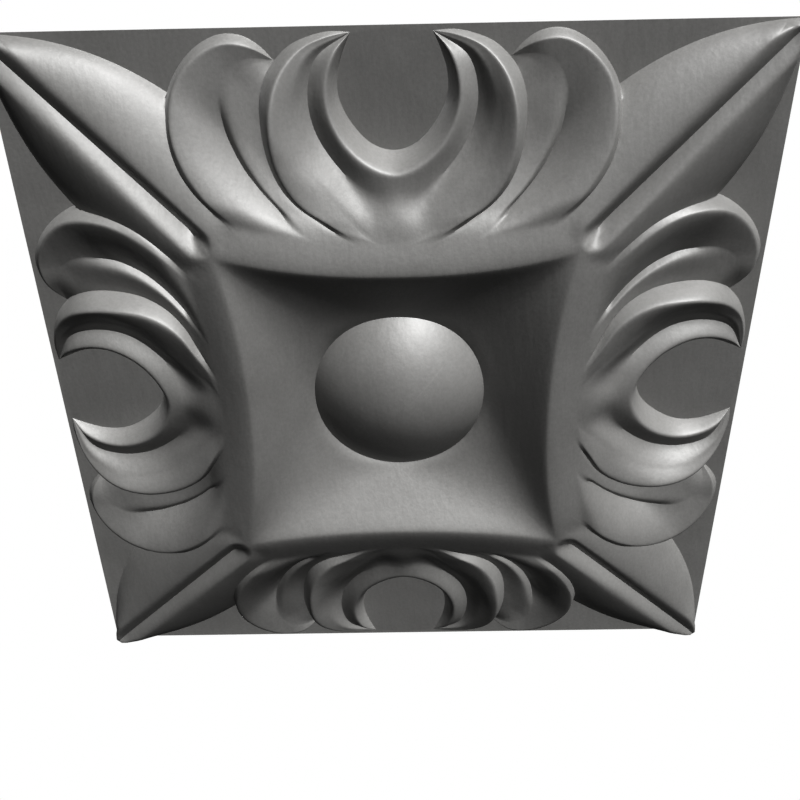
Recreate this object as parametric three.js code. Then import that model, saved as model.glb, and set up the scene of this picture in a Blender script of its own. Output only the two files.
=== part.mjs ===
import * as THREE from "three";
import { mergeVertices } from "three/addons/utils/BufferGeometryUtils.js";

// Carved rosette block. The back lies in the plane y = 0, the carving faces -Y and +Z is up.
// Millimetres throughout.
const blockSide = 150;
const plateThickness = 7;
const backCut = 1.5;

// Rim of the bowl and the plain cove that falls away outside it.
const rimHeight = 13;
const rimReach = 31.4;
const cornerReach = 35.6;
const cornerDrop = 1.2;
const rimRoll = 2;
const coveSlope = 0.44;
const coveCornerSlope = 0.31;
const collarWidth = 5.5;
const fadeWidth = 5;

// Bowl and boss.
const bowlFloorHeight = 2.6;
const bowlCurve = 1.7;
const bowlFlat = 11;
const bowlRollShare = 0.09;
const bowlValley = 11;
const bossRadius = 18.9;
const bossHeight = 10.4;

// Corner dart.
const dartWidth = 33;
const dartFall = 8.5;
const dartTipShare = 0.995;
const dartStart = 24;
const dartRise = 3.5;
const grooveWidth = 5.6;
const grooveShare = 0.28;
const grooveOpeningShare = 0.05;

// Share of the outer lobe's length from which its fold dies away.
const foldEnd = 0.55;

// Facets along and across the lines of the carving.
const facetsToFork = 12;
const facetsPastFork = 4;
const facetsToDart = 7;
const facetsOfDart = 4;
const facetsOfBowl = 5;
const facetsOfBoss = 4;

const halfSide = blockSide / 2;

// The lines of half a leaf, from the leaf's axis and the rim out to the edge of the block.
// A point is [across, out, height]: across as a share of the half side, out as a share of the way
// from the rim's crest to the edge, height as a share of the rim's height, or null on the dart's flank.
// Lines of the band round the eye cross the axis of the leaf.
const eyeFoot = [[0, 0.476, 0], [0.055, 0.505, 0], [0.105, 0.596, 0], [0.135, 0.708, 0], [0.135, 0.811, 0],
  [0.118, 0.905, 0], [0.1, 0.974, 0]];
const bandCrest = [[0, 0.416, 0.575], [0.065, 0.454, 0.54], [0.125, 0.545, 0.46], [0.16, 0.674, 0.37],
  [0.162, 0.794, 0.29], [0.138, 0.905, 0.18], [0.1, 0.974, 0]];
const fluteBed = [[0, 0.335, 0.6], [0.078, 0.347, 0.51], [0.146, 0.447, 0.36], [0.197, 0.588, 0.24],
  [0.21, 0.742, 0.18], [0.185, 0.88, 0.12], [0.1, 0.974, 0]];
// The other lines start on the collar outside the rim; their first entry is where, as an across share.
const leafBelly = [0, [0.035, 0.132, 0.86], [0.075, 0.168, 0.82], [0.117, 0.245, 0.75],
  [0.165, 0.34, 0.66], [0.224, 0.46, 0.57], [0.255, 0.595, 0.5], [0.257, 0.74, 0.42], [0.205, 0.905, 0.2],
  [0.1, 0.974, 0]];
const mainCrest = [0.082, [0.125, 0.177, 0.86], [0.172, 0.228, 0.82], [0.23, 0.292, 0.78],
  [0.268, 0.37, 0.74], [0.294, 0.47, 0.71], [0.304, 0.6, 0.68], [0.296, 0.73, 0.58], [0.268, 0.845, 0.4],
  [0.217, 0.925, 0.21], [0.16, 0.96, 0.1], [0.1, 0.974, 0]];
const mainFoot = [0.097, [0.137, 0.168, 0.8], [0.19, 0.22, 0.7], [0.248, 0.281, 0.59], [0.29, 0.358, 0.47],
  [0.32, 0.47, 0.34], [0.332, 0.6, 0.25], [0.33, 0.72, 0.19], [0.313, 0.81, 0.12], [0.29, 0.866, 0],
  [0.25, 0.926, 0], [0.2, 0.962, 0], [0.15, 0.979, 0], [0.1, 0.974, 0]];
const foldCrest = [0.178, [0.235, 0.195, 0.77], [0.28, 0.262, 0.65], [0.327, 0.342, 0.53],
  [0.36, 0.42, 0.44], [0.383, 0.49, 0.38], [0.401, 0.58, 0.32], [0.407, 0.67, 0.29], [0.4, 0.755, 0.26],
  [0.375, 0.83, 0.2], [0.335, 0.865, 0.12], [0.29, 0.866, 0]];
const foldFoot = [0.195, [0.255, 0.195, 0.74], [0.297, 0.267, 0.56], [0.342, 0.345, 0.43],
  [0.382, 0.435, 0.32], [0.402, 0.5, 0.26], [0.42, 0.58, 0.22], [0.428, 0.67, 0.2], [0.427, 0.76, 0.2],
  [0.4, 0.85, 0.17], [0.35, 0.885, 0.12], [0.29, 0.866, 0]];
const outerCrest = [0.388, [0.413, 0.238, 0.82], [0.449, 0.297, 0.77], [0.486, 0.375, 0.7],
  [0.517, 0.46, 0.63], [0.541, 0.56, 0.56], [0.547, 0.68, 0.47], [0.533, 0.79, 0.36], [0.483, 0.89, 0.26],
  [0.414, 0.945, 0.19], [0.347, 0.932, 0.16], [0.29, 0.866, 0]];
const outerFoot = [0.408, [0.431, 0.233, null], [0.468, 0.295, null], [0.507, 0.372, null],
  [0.538, 0.46, null], [0.558, 0.57, null], [0.563, 0.67, null], [0.556, 0.755, 0], [0.53, 0.842, 0],
  [0.48, 0.927, 0], [0.417, 0.976, 0], [0.362, 0.968, 0], [0.32, 0.923, 0], [0.29, 0.866, 0]];
// Knots at which the next lobe parts from a line.
const forkKnot = 9;
const dartKnot = 7;

// Profiles between two lines, from 0 at the low one to 1 at the high one.
const roundOver = (power) => (t) => Math.pow(1 - Math.pow(1 - t, power), 1 / power);
const wall = roundOver(1.2);
const flank = roundOver(1.5);
const swell = (t) => t * t * (3 - 2 * t);
const slope = (t) => t;
const easeOut = (t) => Math.sin(t * Math.PI / 2);
const fallOf = (profile) => (t) => 1 - profile(1 - t);
const clamp = (t) => Math.max(0, Math.min(1, t));

// The crest of the rim bows in at the middle of each side and drops a little to the corners.
const rimOut = (across) => rimReach + (cornerReach - rimReach) * Math.pow(Math.abs(across) / cornerReach, 2.2);
const rimLevel = (across) => rimHeight - cornerDrop * Math.pow(Math.abs(across) / cornerReach, 3);

// The plain cove round the rim, from which the carving grows.
function coveHeightAt(x, y) {
  const away = Math.hypot(y - rimOut(x), rimRoll) - rimRoll;
  return rimLevel(x) - away * (coveSlope - (coveSlope - coveCornerSlope) * Math.pow(x / cornerReach, 2));
}

// Takes a point from the cove's height at the given clearance 0 to its own height at clearance 1.
function growOut(point, clearance) {
  const cove = coveHeightAt(point.x, point.y);
  point.z = cove + (point.z - cove) * swell(clamp(clearance));
  return point;
}

function fadeIn(row) {
  return row.map((point) => growOut(point.clone(), (point.y - rimOut(point.x) - collarWidth) / fadeWidth));
}

// Corner dart: a pointed leaf along the diagonal, highest along a ridge beside the groove in its middle.
// along runs from the rim's corner to the block's corner, aside is measured square to the diagonal.
const dartHalfWidth = (along) => dartWidth / 2 * (1 - Math.pow(clamp(along / dartTipShare), 3.2));
const grooveSpread = (along) => grooveWidth / 2 * Math.sqrt(clamp(along / grooveOpeningShare));
const dartRidgeAside = (along) => Math.min(grooveSpread(along), dartHalfWidth(along));
const dartRidgeHeight = (along) => rimHeight - cornerDrop - dartFall * along;

function dartPoint(along, aside, height) {
  const middle = cornerReach + along * (halfSide - cornerReach);
  const shift = aside * Math.SQRT1_2;
  return new THREE.Vector3(middle - shift, middle + shift, height);
}

function dartAlong(x, y) {
  return ((x + y) / 2 - cornerReach) / (halfSide - cornerReach);
}

function dartHeightAt(x, y) {
  const along = dartAlong(x, y);
  const aside = (y - x) * Math.SQRT1_2;
  const [edge, ridge] = [dartHalfWidth(along), dartRidgeAside(along)];
  return dartRidgeHeight(along) * flank(clamp((edge - aside) / Math.max(edge - ridge, 1e-6)));
}

function leafPoint([across, out, height]) {
  const x = across * halfSide;
  const y = rimReach + out * (halfSide - rimReach);
  return new THREE.Vector3(x, y, height === null ? dartHeightAt(x, y) : height * rimHeight);
}

// A line is sampled by its share of length; heights stay on or above the front of the plate.
class CarvedLine {
  constructor(points) {
    this.curve = new THREE.CatmullRomCurve3(points, false, "centripetal");
    this.knots = points.length - 1;
    this.curve.arcLengthDivisions = this.knots * 40;
    this.start = 0;
  }

  shareAtKnot(knot) {
    const lengths = this.curve.getLengths();
    return lengths[knot * 40] / lengths[lengths.length - 1];
  }

  at(share) {
    const point = this.curve.getPointAt(this.start + share * (1 - this.start));
    point.z = Math.max(0, point.z);
    return point;
  }

  along(shares) {
    return shares.map((share) => this.at(share));
  }
}

// A line that crosses the leaf's axis is drawn whole, and its right half is used.
function lineAcross(table) {
  const half = table.map(leafPoint);
  const mirrored = half.slice(1).reverse().map((point) => new THREE.Vector3(-point.x, point.y, point.z));
  const line = new CarvedLine([...mirrored, ...half]);
  line.start = 0.5;
  return line;
}

function lineFromCollar(table) {
  const x = table[0] * halfSide;
  const y = rimOut(x) + collarWidth;
  return new CarvedLine([new THREE.Vector3(x, y, coveHeightAt(x, y)), ...table.slice(1).map(leafPoint)]);
}

// The outer lobe's foot reaches the ground on the dart's outline.
function outerFootLine() {
  const knot = leafPoint(outerFoot[dartKnot]);
  const along = dartAlong(knot.x, knot.y);
  const line = lineFromCollar(outerFoot);
  line.curve.points[dartKnot] = dartPoint(along, dartHalfWidth(along), 0);
  line.curve.updateArcLengths();
  return line;
}

function sharesTo(end, count) {
  return Array.from({ length: count + 1 }, (unused, step) => end * step / count);
}

function sharesPast(start, count) {
  return Array.from({ length: count }, (unused, step) => start + (1 - start) * (step + 1) / count);
}

// Rows of points from one line to the next, the first line's own row included.
function rowsBetween(first, last, count, profile) {
  return Array.from({ length: count }, (unused, row) => {
    const t = row / count;
    return first.map((point, index) => {
      const between = point.clone().lerp(last[index], t);
      between.z = point.z + (last[index].z - point.z) * profile(t);
      return between;
    });
  });
}

// Distance between two points as seen from the front.
const spacing = (p, q) => Math.hypot(p.x - q.x, p.y - q.y);

// Slopes of a section on both sides of a knot. A section runs on smoothly where it climbs or falls through
// a knot; at a bed or crest each side keeps the given share of its own slope.
function slopesAtKnot(before, after, sharpness) {
  if (before * after > 0) {
    const steady = 2 * before * after / (before + after);
    return [steady, steady];
  }
  return [sharpness * before, sharpness * after];
}

// One section across a run of lines: its knots, the widths between them and its directions at each knot,
// which are shared by both sides as far as the section runs straight on.
function sectionThrough(knots, sharpness) {
  const widths = knots.slice(1).map((knot, span) => spacing(knot, knots[span]) + 1e-6);
  const headings = widths.map((width, span) => knots[span + 1].clone().sub(knots[span]).divideScalar(width));
  const turns = knots.map((unused, place) => {
    const [before, after] = [headings[place - 1] ?? headings[place], headings[place] ?? headings[place - 1]];
    const climbs = [headings[place - 1]?.z ?? 0, headings[place]?.z ?? 0];
    const [arrive, leave] = slopesAtKnot(...climbs, sharpness[place]);
    const bend = clamp(before.x * after.x + before.y * after.y) / 2;
    const [inward, outward] = [before.clone().lerp(after, bend), after.clone().lerp(before, bend)];
    return { arrive: inward.setZ(arrive), leave: outward.setZ(leave) };
  });
  return { knots, widths, turns };
}

// Rows through a run of lines, bending smoothly and never past a crest or bed.
function rowsThrough(lines, count, sharpness) {
  const sections = sharpness.map((shares, index) => sectionThrough(lines.map((line) => line[index]), shares));
  return Array.from({ length: (lines.length - 1) * count }, (unused, row) => {
    const span = Math.floor(row / count);
    const t = (row % count) / count;
    return sections.map(({ knots, widths, turns }) => {
      const point = knots[span].clone().lerp(knots[span + 1], swell(t));
      point.addScaledVector(turns[span].leave, t * (1 - t) * (1 - t) * widths[span]);
      return point.addScaledVector(turns[span + 1].arrive, -t * t * (1 - t) * widths[span]);
    });
  });
}

const triangles = [];

// Corners come clockwise as seen from the front; a triangle with two corners together is left out.
function layTriangle(p, q, r) {
  if (p.distanceTo(q) < 1e-4 || q.distanceTo(r) < 1e-4 || r.distanceTo(p) < 1e-4) {
    return;
  }
  triangles.push([p, q, r]);
}

function layRows(rows) {
  for (let row = 0; row + 1 < rows.length; row += 1) {
    for (let step = 0; step + 1 < rows[row].length; step += 1) {
      const [p, q] = [rows[row][step], rows[row][step + 1]];
      const [s, r] = [rows[row + 1][step], rows[row + 1][step + 1]];
      if (p.distanceTo(r) < q.distanceTo(s)) {
        layTriangle(p, q, r);
        layTriangle(p, r, s);
      } else {
        layTriangle(p, q, s);
        layTriangle(q, r, s);
      }
    }
  }
}

const forkLine = lineFromCollar(mainFoot);
const dartLine = outerFootLine();
const forkShare = forkLine.shareAtKnot(forkKnot);
const dartMeetShare = dartLine.shareAtKnot(dartKnot);

// Main lobe: band round the eye, flute behind it, belly, crest and the wall down to the outer lobe.
const mainShares = [...sharesTo(forkShare, facetsToFork), ...sharesPast(forkShare, facetsPastFork)];
const eyeFootRow = lineAcross(eyeFoot).along(mainShares);
const bandRow = lineAcross(bandCrest).along(mainShares);
const fluteRow = lineAcross(fluteBed).along(mainShares);
const bellyRow = lineFromCollar(leafBelly).along(mainShares);
const mainCrestRow = lineFromCollar(mainCrest).along(mainShares);
const mainFootLow = forkLine.along(mainShares);
const mainFootRow = [...fadeIn(mainFootLow.slice(0, facetsToFork)), ...mainFootLow.slice(facetsToFork)];
const faceSharpness = mainShares.map((share) => [0.3, 0.7 * swell(clamp((share - 0.1) / 0.2)), 0, 0.5]);
const rowsToBelly = 2 + 2 + 2;
const mainRows = [
  ...rowsBetween(eyeFootRow, bandRow, 2, wall),
  ...rowsThrough([bandRow, fluteRow, bellyRow, mainCrestRow], 2, faceSharpness).map(fadeIn),
  ...rowsBetween(mainCrestRow, mainFootLow, 2, fallOf(wall)).map(fadeIn),
  mainFootRow,
];
layRows(mainRows);

// Outer lobe: a fold beside the main lobe, a flute past its foot, the crest and the wall down to the dart.
const facetsPastDart = facetsToFork - facetsToDart;
const outerShares = [...sharesTo(dartMeetShare, facetsToDart), ...sharesPast(dartMeetShare, facetsPastDart)];
const innerRow = mainFootRow.slice(0, facetsToFork + 1);
const foldCrestRow = lineFromCollar(foldCrest).along(outerShares);
const foldFootRow = lineFromCollar(foldFoot).along(outerShares);
const outerCrestRow = lineFromCollar(outerCrest).along(outerShares);
const outerFootLow = dartLine.along(outerShares);
const outerFace = [
  ...rowsBetween(innerRow, foldCrestRow, 2, swell),
  ...rowsBetween(foldCrestRow, foldFootRow, 1, slope),
  ...rowsBetween(foldFootRow, outerCrestRow, 4, easeOut),
];

// The fold dies away into a plain slope towards the lobe's end.
outerShares.forEach((share, index) => {
  const kept = 1 - swell(clamp((share - foldEnd) / (1 - foldEnd) * 1.6));
  const section = [...outerFace.map((row) => row[index]), outerCrestRow[index]];
  const [first, last] = [section[0].z, outerCrestRow[index].z];
  const steps = section.slice(1).map((point, place) => spacing(point, section[place]));
  const width = steps.reduce((total, step) => total + step, 1e-6);
  let walked = 0;
  outerFace.forEach((row, place) => {
    const plain = first + (last - first) * walked / width;
    row[index].z = plain + (row[index].z - plain) * kept;
    walked += steps[place];
  });
});

// The outer lobe's foot lies on the dart's flank until it reaches the ground.
const onFlank = outerFootLow.slice(0, facetsToDart);
onFlank.forEach((point) => point.setZ(dartHeightAt(point.x, point.y)));
const outerFootRow = [...fadeIn(onFlank), ...outerFootLow.slice(facetsToDart)];
const outerRows = [
  innerRow,
  ...outerFace.slice(1).map(fadeIn),
  ...rowsBetween(outerCrestRow, outerFootLow, 2, fallOf(wall)).map(fadeIn),
  outerFootRow,
];
layRows(outerRows);

// Collar: the plain cove from the rim to the starts of the lines.
const collarRow = [...mainRows.slice(rowsToBelly), ...outerRows.slice(1)].map((row) => row[0]);
const crowding = dartStart / collarRow[collarRow.length - 1].x;
const collarRimRow = collarRow.map((start) => {
  const x = start.x * crowding;
  return new THREE.Vector3(x, rimOut(x), rimLevel(x));
});
layRows([collarRow, collarRimRow]);

// Dart: its edge runs over the collar, along the outer lobe's foot and then on the ground.
const rimEnd = collarRimRow[collarRimRow.length - 1];
const dartMeets = dartAlong(outerFootRow[facetsToDart].x, outerFootRow[facetsToDart].y);
const dartEdgeRow = [
  rimEnd,
  ...outerFootRow.slice(0, facetsToDart + 1),
  ...sharesPast(0, facetsPastDart).map((share) => {
    const along = dartMeets + share * (dartTipShare - dartMeets);
    return dartPoint(along, dartHalfWidth(along), 0);
  }),
];
const firstStations = 1 + Math.floor(facetsToDart / 2);
const dartStations = dartEdgeRow.map((point, index) => {
  const even = dartEdgeRow[Math.max(index, firstStations)];
  return dartAlong(even.x, even.y) * Math.pow(Math.min(1, index / firstStations), 1.5);
});
const dartRidgeRow = dartStations.map((along) => {
  return dartPoint(along, dartRidgeAside(along), dartRidgeHeight(along));
});
const dartGrooveRow = dartStations.map((along) => {
  const depth = grooveShare * dartRidgeAside(along) / (grooveWidth / 2);
  return dartPoint(along, 0, dartRidgeHeight(along) * (1 - depth));
});

// The dart grows out of the cove, at once along the diagonal and past the collar along its edge.
function dartRisen(row) {
  return row.map((point, index) => {
    const edge = dartEdgeRow[index];
    const outward = Math.pow(clamp((point.y - point.x) / Math.max(edge.y - edge.x, 1e-6)), 2);
    const clear = point.y - rimOut(point.x) - collarWidth * outward;
    return growOut(point.clone(), clear / (dartRise + (fadeWidth - dartRise) * outward));
  });
}

const flankRows = sharesTo(1, facetsOfDart).slice(1, -1).map((share) => dartEdgeRow.map((edge, index) => {
  const { x, y } = edge.clone().lerp(dartRidgeRow[index], share);
  const across = index === 0 ? edge.x + (cornerReach - edge.x) * share : x;
  const out = index === 0 ? rimOut(across) : y;
  return new THREE.Vector3(across, out, dartHeightAt(across, out));
}));
const dartRows = [dartEdgeRow, ...[...flankRows, dartRidgeRow, dartGrooveRow].map(dartRisen)];
layRows(dartRows);

// Bowl: rolled over at the rim, falling ever more gently to the boss, with a soft valley to each corner.
function bowlHeightAt(x, y, rim) {
  const [inward, sideways] = [rimOut(x) - y, rimOut(y) - x];
  const reach = rimReach - bowlFlat;
  const valley = bowlValley * clamp((inward + sideways) / 2 / reach);
  const inside = (inward + sideways - Math.hypot(inward - sideways, valley)) / 2;
  const climb = clamp(1 - inside / reach);
  const roll = (t) => Math.hypot(t, bowlRollShare) - bowlRollShare;
  return bowlFloorHeight + (rim.z - bowlFloorHeight) * Math.pow(1 - roll(1 - climb) / roll(1), bowlCurve);
}

// The boss is a cap of a sphere; its foot is where the sphere meets the bowl.
const sphereRadius = (bossRadius * bossRadius + bossHeight * bossHeight) / (2 * bossHeight);
const sphereMiddle = bowlFloorHeight + bossHeight - sphereRadius;

function bossFoot(rim) {
  const turn = Math.atan2(rim.x, rim.y);
  const foot = new THREE.Vector3(Math.sin(turn), Math.cos(turn), 0).multiplyScalar(bossRadius);
  for (let settle = 0; settle < 14; settle += 1) {
    foot.z = bowlHeightAt(foot.x, foot.y, rim);
    const reach = Math.sqrt(sphereRadius * sphereRadius - Math.pow(foot.z - sphereMiddle, 2));
    foot.set(reach * Math.sin(turn), reach * Math.cos(turn), foot.z);
  }
  return foot;
}

const rimRow = [...collarRimRow, ...dartRows.slice(1).map((row) => row[0])];
const bossFootRow = rimRow.map(bossFoot);
const bowlRows = sharesTo(1, facetsOfBowl).slice(1, -1).map((share) => rimRow.map((rim, index) => {
  const point = rim.clone().lerp(bossFootRow[index], share);
  point.z = bowlHeightAt(point.x, point.y, rim);
  return point;
}));
layRows([rimRow, ...bowlRows, bossFootRow]);

const bossRows = sharesTo(1, facetsOfBoss).map((share) => bossFootRow.map((foot) => {
  const turn = Math.atan2(foot.x, foot.y);
  const lean = Math.atan2(Math.hypot(foot.x, foot.y), foot.z - sphereMiddle) * (1 - share);
  const reach = sphereRadius * Math.sin(lean);
  const height = sphereMiddle + sphereRadius * Math.cos(lean);
  return new THREE.Vector3(reach * Math.sin(turn), reach * Math.cos(turn), height);
}));
layRows(bossRows);

// Bare ground: inside the eye, and between the lobes and the edge of the block.
const edgeMiddle = new THREE.Vector3(0, halfSide, 0);
for (let step = 0; step + 1 < eyeFootRow.length; step += 1) {
  layTriangle(edgeMiddle, eyeFootRow[step + 1], eyeFootRow[step]);
}
const outlineRow = [
  ...mainFootRow.slice(facetsToFork).reverse(),
  ...outerFootRow.slice(facetsToDart).reverse().slice(1),
  ...dartEdgeRow.slice(facetsToDart + 2),
];
const edgeRow = outlineRow.map((point, index) => {
  const last = index === outlineRow.length - 1;
  return new THREE.Vector3(last ? halfSide : point.x, halfSide, 0);
});
layTriangle(edgeMiddle, edgeRow[0], outlineRow[0]);
layRows([edgeRow, outlineRow]);

// Sides of the plate, cut back so that the front arris closes tight, and its back.
const plateEdge = [edgeMiddle, ...edgeRow];
const backShare = 1 - backCut / halfSide;
const backEdge = plateEdge.map(({ x, y }) => new THREE.Vector3(x * backShare, y * backShare, -plateThickness));
layRows([backEdge, plateEdge]);
const backMiddle = new THREE.Vector3(0, 0, -plateThickness);
for (let step = 0; step + 1 < backEdge.length; step += 1) {
  layTriangle(backMiddle, backEdge[step + 1], backEdge[step]);
}

// The eighth of the block is mirrored in the diagonal and in the leaf's axis, and turned to the four sides.
// Across, out and height become X, Z and -Y, measured from the back.
function wholeBlock() {
  const positions = [];
  for (let quarter = 0; quarter < 4; quarter += 1) {
    const turn = new THREE.Matrix4().makeRotationZ(quarter * Math.PI / 2);
    for (const side of [1, -1]) {
      for (const corners of triangles) {
        const placed = corners.map(({ x, y, z }) => new THREE.Vector3(side * x, y, z).applyMatrix4(turn));
        const ordered = side === 1 ? placed.reverse() : placed;
        ordered.forEach((point) => positions.push(point.x, -plateThickness - point.z, point.y));
      }
    }
  }
  const separate = new THREE.BufferGeometry();
  separate.setAttribute("position", new THREE.Float32BufferAttribute(positions, 3));
  const geometry = mergeVertices(separate, 1e-3);
  geometry.computeVertexNormals();
  return geometry;
}

const stone = new THREE.MeshStandardMaterial({ name: "stone", color: 0x77746e, roughness: 0.6, metalness: 0 });
const rosette = new THREE.Mesh(wholeBlock(), stone);
rosette.name = "rosette";

const group = new THREE.Group();
group.name = "carved_rosette";
group.add(rosette);

export default group;
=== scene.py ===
"""Carved rosette block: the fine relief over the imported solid, its stone finish and a studio stage."""

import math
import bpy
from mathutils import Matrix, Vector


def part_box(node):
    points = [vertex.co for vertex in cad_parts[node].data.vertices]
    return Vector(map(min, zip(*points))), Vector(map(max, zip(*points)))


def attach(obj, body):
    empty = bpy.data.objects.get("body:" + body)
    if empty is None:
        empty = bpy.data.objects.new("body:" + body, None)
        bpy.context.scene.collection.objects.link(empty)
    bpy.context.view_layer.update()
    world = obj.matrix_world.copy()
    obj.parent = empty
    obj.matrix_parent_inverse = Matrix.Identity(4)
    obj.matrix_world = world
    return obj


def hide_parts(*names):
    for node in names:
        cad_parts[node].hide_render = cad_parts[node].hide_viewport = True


bl_info = {
    "name": "Carved Rosette Block",
    "version": (1, 0, 0),
    "blender": (4, 5, 0),
    "location": "3D View > Sidebar > Rosette",
    "description": "A square block carved with a boss in a bowl, four lobed leaves and four corner darts",
    "category": "Add Mesh",
}

import bmesh
import bpy
import numpy as np
from mathutils import Matrix, Vector

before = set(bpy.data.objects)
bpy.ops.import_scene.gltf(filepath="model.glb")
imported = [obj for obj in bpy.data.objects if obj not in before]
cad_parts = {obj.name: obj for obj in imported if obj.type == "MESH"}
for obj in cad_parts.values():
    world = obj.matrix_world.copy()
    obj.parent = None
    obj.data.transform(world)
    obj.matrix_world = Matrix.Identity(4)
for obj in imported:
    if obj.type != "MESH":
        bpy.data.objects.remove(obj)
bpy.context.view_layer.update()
BLOCK_LOW, BLOCK_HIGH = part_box("rosette")
BLOCK_SIDE = BLOCK_HIGH.x - BLOCK_LOW.x
PLATE_THICKNESS = 0.007

# Points nearer to each other than this become one, and no width under the second is divided by.
WELD = 1e-5
TINY = 1e-9
# Rounds in which a place that depends on itself settles.
SETTLES = 14

# Powers of the curves by which the rim bows out and drops to its corners, the dart draws to its point and
# the groove hollows, and of the bowl's outline, which is nearly round at the boss and square at the rim.
RIM_BOW = 2.2
RIM_DROP = 3
DART_POINT = 3.2
GROOVE_HOLLOW = 1.5
BOWL_AT_BOSS = 2.2
BOWL_AT_RIM = 44

# How much of its own slope a section keeps at the band's crest, the flute's bed and the main crest. The
# bed is round up to CRISP_FROM of the line's length, and crisp after CRISP_OVER more of it.
BAND_SHARPNESS = 0.3
FLUTE_SHARPNESS = 0.7
CREST_SHARPNESS = 0.5
CRISP_FROM = 0.1
CRISP_OVER = 0.2
# Pace at which the outer lobe's fold dies away: at 1 it is gone at the lobe's end, and above 1 sooner.
FOLD_PACE = 1.6

# Stations along the lines up to the fork, past it and up to the dart, for each row of the fineness.
TO_FORK = 6
PAST_FORK = 2
TO_DART = 3.6
# Crowding of rows at both ends of the bowl and at the boss's foot, and of the dart's first stations.
BOWL_CROWDING = 0.13
BOSS_CROWDING = 1.4
DART_CROWDING = 1.5

# Pointiness of a crease, of a plain surface and of an arris, where the painted crease shade is deepest,
# lighter and gone, and how far the roughness of the satin and of the dull patches lies from the stone's.
CREASE = 0.42
PLAIN = 0.5
ARRIS = 0.58
SATIN = -0.05
DULL = 0.06

# Each sun's setting for its strength, the way towards it, and the width of its disc in degrees.
SUNS = {
    "key_light": ("key_strength", (0.34, -0.24, 0.91), 10),
    "front_light": ("front_strength", (0.34, -0.52, 0.79), 10),
    "left_back_light": ("back_strength", (-0.6, 0.75, 0.28), 30),
    "right_back_light": ("back_strength", (0.6, 0.75, 0.28), 30),
}
SENSOR_WIDTH = 36
NEAREST_SHOWN = 0.01

# Lines of half a leaf, from the leaf's axis and the bowl's rim out to the edge of the block.
# A point is (across, out, height): across as a share of the half side, out as a share of the way from
# the rim to the edge, height as a share of the rim's height, or None where the dart's flank gives it.
EYE_FOOT = [(0, 0.476, 0), (0.055, 0.505, 0), (0.105, 0.596, 0), (0.135, 0.708, 0),
            (0.135, 0.811, 0), (0.118, 0.905, 0), (0.1, 0.974, 0)]
BAND_CREST = [(0, 0.416, 0.575), (0.065, 0.454, 0.54), (0.125, 0.545, 0.46), (0.16, 0.674, 0.37),
              (0.162, 0.794, 0.29), (0.138, 0.905, 0.18), (0.1, 0.974, 0)]
FLUTE_BED = [(0, 0.335, 0.6), (0.078, 0.347, 0.51), (0.146, 0.447, 0.36), (0.197, 0.588, 0.24),
             (0.21, 0.742, 0.18), (0.185, 0.88, 0.12), (0.1, 0.974, 0)]
# The other lines start on the collar outside the rim; their first entry is where, as an across share.
LEAF_BELLY = [0, (0.035, 0.132, 0.86), (0.075, 0.168, 0.805), (0.117, 0.245, 0.73), (0.165, 0.34, 0.65),
              (0.224, 0.46, 0.57), (0.255, 0.595, 0.5), (0.257, 0.74, 0.42), (0.205, 0.905, 0.2),
              (0.1, 0.974, 0)]
MAIN_CREST = [0.082, (0.125, 0.177, 0.86), (0.172, 0.228, 0.82), (0.23, 0.292, 0.78), (0.268, 0.37, 0.74),
              (0.294, 0.47, 0.71), (0.304, 0.6, 0.68), (0.296, 0.73, 0.58), (0.268, 0.845, 0.4),
              (0.217, 0.925, 0.21), (0.16, 0.96, 0.1), (0.1, 0.974, 0)]
MAIN_FOOT = [0.097, (0.137, 0.168, 0.8), (0.19, 0.22, 0.7), (0.248, 0.281, 0.59), (0.29, 0.358, 0.47),
             (0.32, 0.47, 0.34), (0.332, 0.6, 0.25), (0.33, 0.72, 0.19), (0.313, 0.81, 0.12),
             (0.29, 0.866, 0), (0.25, 0.926, 0), (0.2, 0.962, 0), (0.15, 0.979, 0), (0.1, 0.974, 0)]
FOLD_CREST = [0.178, (0.235, 0.195, 0.77), (0.28, 0.262, 0.65), (0.327, 0.342, 0.53), (0.36, 0.42, 0.44),
              (0.383, 0.49, 0.38), (0.401, 0.58, 0.32), (0.407, 0.67, 0.29), (0.4, 0.755, 0.26),
              (0.375, 0.83, 0.2), (0.335, 0.865, 0.12), (0.29, 0.866, 0)]
FOLD_FOOT = [0.195, (0.255, 0.195, 0.74), (0.297, 0.267, 0.56), (0.342, 0.345, 0.43), (0.382, 0.435, 0.32),
             (0.402, 0.5, 0.26), (0.42, 0.58, 0.22), (0.428, 0.67, 0.2), (0.427, 0.76, 0.2),
             (0.4, 0.85, 0.17), (0.35, 0.885, 0.12), (0.29, 0.866, 0)]
OUTER_CREST = [0.388, (0.413, 0.238, 0.86), (0.45, 0.297, 0.83), (0.487, 0.375, 0.77), (0.518, 0.46, 0.7),
               (0.541, 0.56, 0.61), (0.547, 0.68, 0.49), (0.533, 0.79, 0.36), (0.483, 0.89, 0.26),
               (0.414, 0.945, 0.19), (0.347, 0.932, 0.16), (0.29, 0.866, 0)]
OUTER_FOOT = [0.408, (0.431, 0.233, None), (0.468, 0.295, None), (0.507, 0.372, None), (0.538, 0.46, None),
              (0.558, 0.57, None), (0.563, 0.67, None), (0.556, 0.755, 0), (0.53, 0.842, 0), (0.48, 0.927, 0),
              (0.417, 0.976, 0), (0.362, 0.968, 0), (0.32, 0.923, 0), (0.29, 0.866, 0)]
# Knots at which the next lobe parts from a line.
FORK_KNOT = 9
DART_KNOT = 7


def round_over(power):
    """Profile of a rounded wall: upright at the foot, level at the top."""
    return lambda t: (1 - (1 - t) ** power) ** (1 / power)


def fall_of(profile):
    """The same profile run down from the top."""
    return lambda t: 1 - profile(1 - t)


def swell(t):
    return t * t * (3 - 2 * t)


def slope(t):
    return t


def ease_out(t):
    return np.sin(t * np.pi / 2)


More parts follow.
